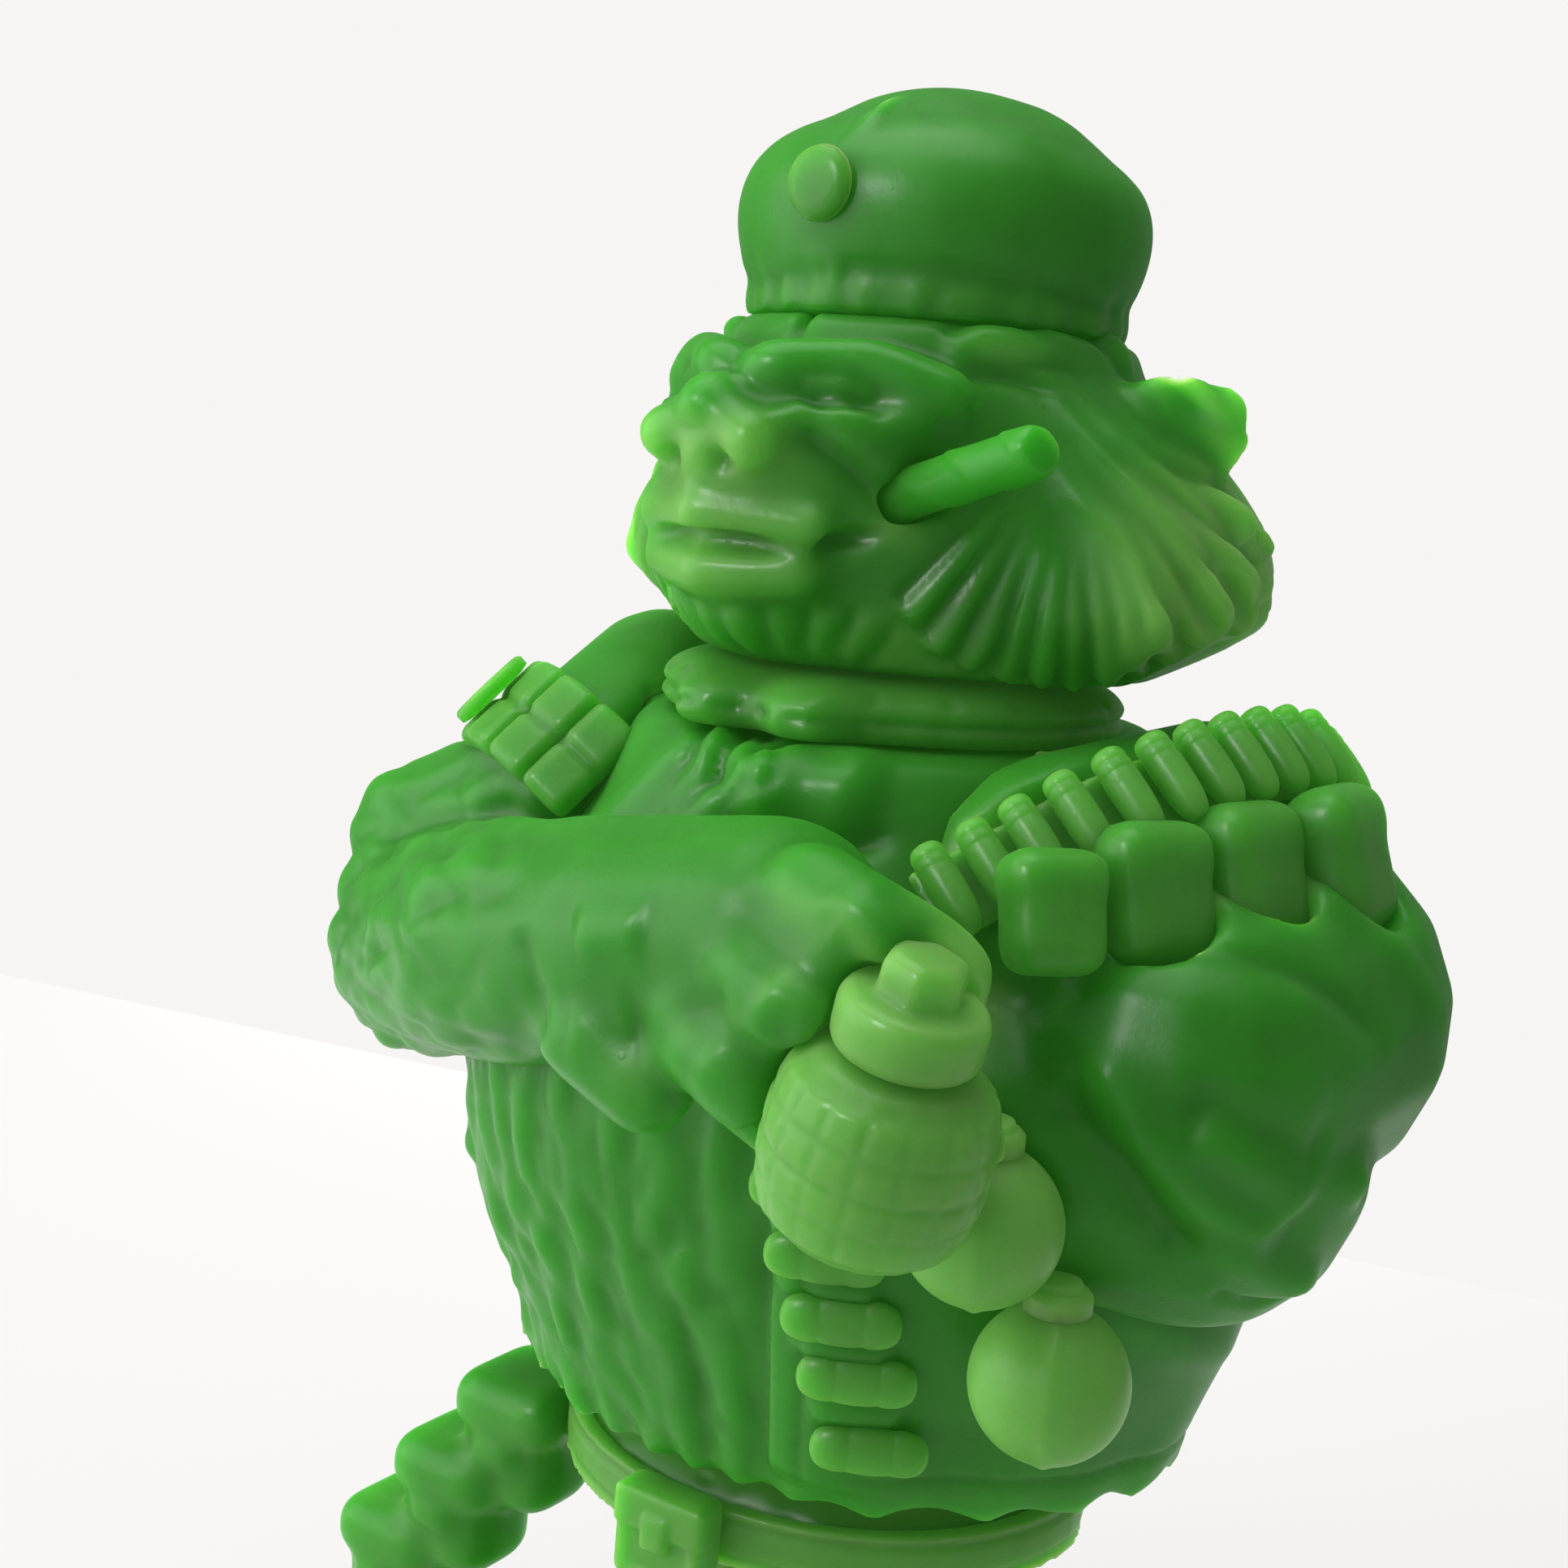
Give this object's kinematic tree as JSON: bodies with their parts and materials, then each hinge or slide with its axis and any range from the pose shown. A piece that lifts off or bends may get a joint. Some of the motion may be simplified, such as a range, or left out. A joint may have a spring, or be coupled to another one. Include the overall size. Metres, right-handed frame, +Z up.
{
  "type": "toy soldier figure",
  "caption": "Moulded vinyl toy soldier: an ape in a beret with folded arms, cigar, cartridge belt and grenades; the head and the torso turn.",
  "frame": {"origin": "on the floor under the middle of the figure", "axes": "+Z up the figure, -Y the way the face looks, +X the figure's left"},
  "size_m": [0.0807, 0.0688, 0.1299],
  "materials": {
    "green_vinyl": "satin, translucent soft vinyl",
    "plug_white": "plain moulded plugs and bushes"
  },
  "bodies": {
    "legs": {"hips": "green_vinyl", "waist_post": "plug_white", "waist_belt": "green_vinyl", "buckle_case": "green_vinyl", "hip_pouches": "green_vinyl", "left_hip_peg": "plug_white", "right_hip_peg": "plug_white", "left_leg": "green_vinyl", "right_leg": "green_vinyl", "left_boot": "green_vinyl", "right_boot": "green_vinyl"},
    "torso": {"torso_shell": "green_vinyl", "collar": "green_vinyl", "neck_post": "plug_white", "right_arm": "green_vinyl", "left_arm": "green_vinyl", "right_shoulder_peg": "plug_white", "left_shoulder_peg": "plug_white", "armband": "green_vinyl", "armband_disc": "green_vinyl", "belt_web": "green_vinyl", "cartridges": "green_vinyl", "shoulder_pouches": "green_vinyl", "jacket_loops": "green_vinyl", "ribbed_grenade": "green_vinyl", "ribbed_fuze": "green_vinyl", "upper_ball_grenade": "green_vinyl", "lower_ball_grenade": "green_vinyl", "waist_bush": "plug_white"},
    "head": {"head_shell": "green_vinyl", "beret": "green_vinyl", "badge_boss": "green_vinyl", "cigar": "green_vinyl", "neck_bush": "plug_white"}
  },
  "joints": [
    {"name": "waist_turn", "type": "hinge", "parent": "legs", "child": "torso", "pos_m": [-0.0009, 0.0081, 0.038], "axis": [0, 0, 1], "continuous": true},
    {"name": "neck_turn", "type": "hinge", "parent": "torso", "child": "head", "pos_m": [-0.0009, 0.0081, 0.0905], "axis": [0, 0, 1], "continuous": true}
  ]
}
